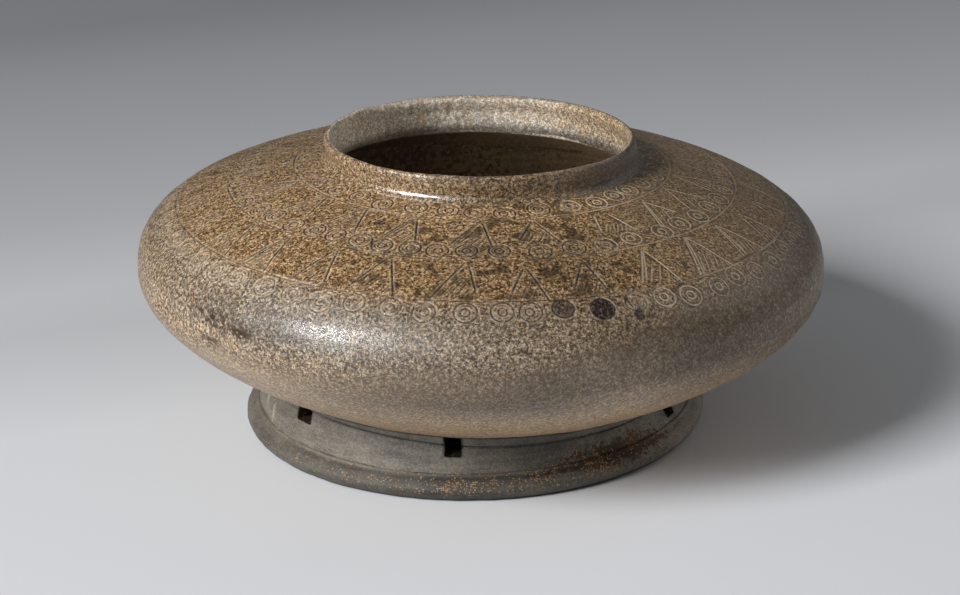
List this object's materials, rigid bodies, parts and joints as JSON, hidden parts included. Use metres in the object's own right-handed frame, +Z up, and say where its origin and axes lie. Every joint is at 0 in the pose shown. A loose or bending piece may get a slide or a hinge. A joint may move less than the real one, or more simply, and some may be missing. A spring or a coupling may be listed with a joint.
{
  "type": "perforated jar",
  "caption": "Squat wide stoneware jar with a low open collar, a domed shoulder ringed by turned lines, a conical lower wall and a foot ring pierced by small windows, in ash glaze",
  "frame": {"origin": "on the surface that the jar stands on, under the centre of its widest line", "axes": "+Z up, -Y towards the side with the front window in the foot ring, +X to the right of someone who faces that side"},
  "size_m": [0.2, 0.2, 0.0872],
  "materials": {
    "base_clay": "bare grey stoneware, rough and unglazed",
    "bowl_clay": "grey stoneware smoothed on the wheel, with a thin breath of ash",
    "slip": "fired slip smoothed into a joint",
    "shoulder_glaze": "natural ash glaze, finely mottled olive brown, tan and blue grey",
    "neck_glaze": "natural ash glaze, tan grey, pooled at the root of the collar",
    "foot_clay": "dark green grey stoneware with spatters of ash"
  },
  "bodies": {
    "root": {"base_disc": "base_clay", "lower_bowl": "bowl_clay", "belly_seam_coil": "slip", "shoulder_dome": "shoulder_glaze", "neck_luting_coil": "neck_glaze", "neck_collar": "neck_glaze", "foot_ring": "foot_clay", "foot_toe_band": "foot_clay", "foot_luting_bead_1": "slip", "foot_luting_bead_2": "slip", "foot_luting_bead_3": "slip", "foot_luting_bead_4": "slip", "foot_luting_bead_5": "slip", "foot_luting_bead_6": "slip"}
  },
  "joints": []
}
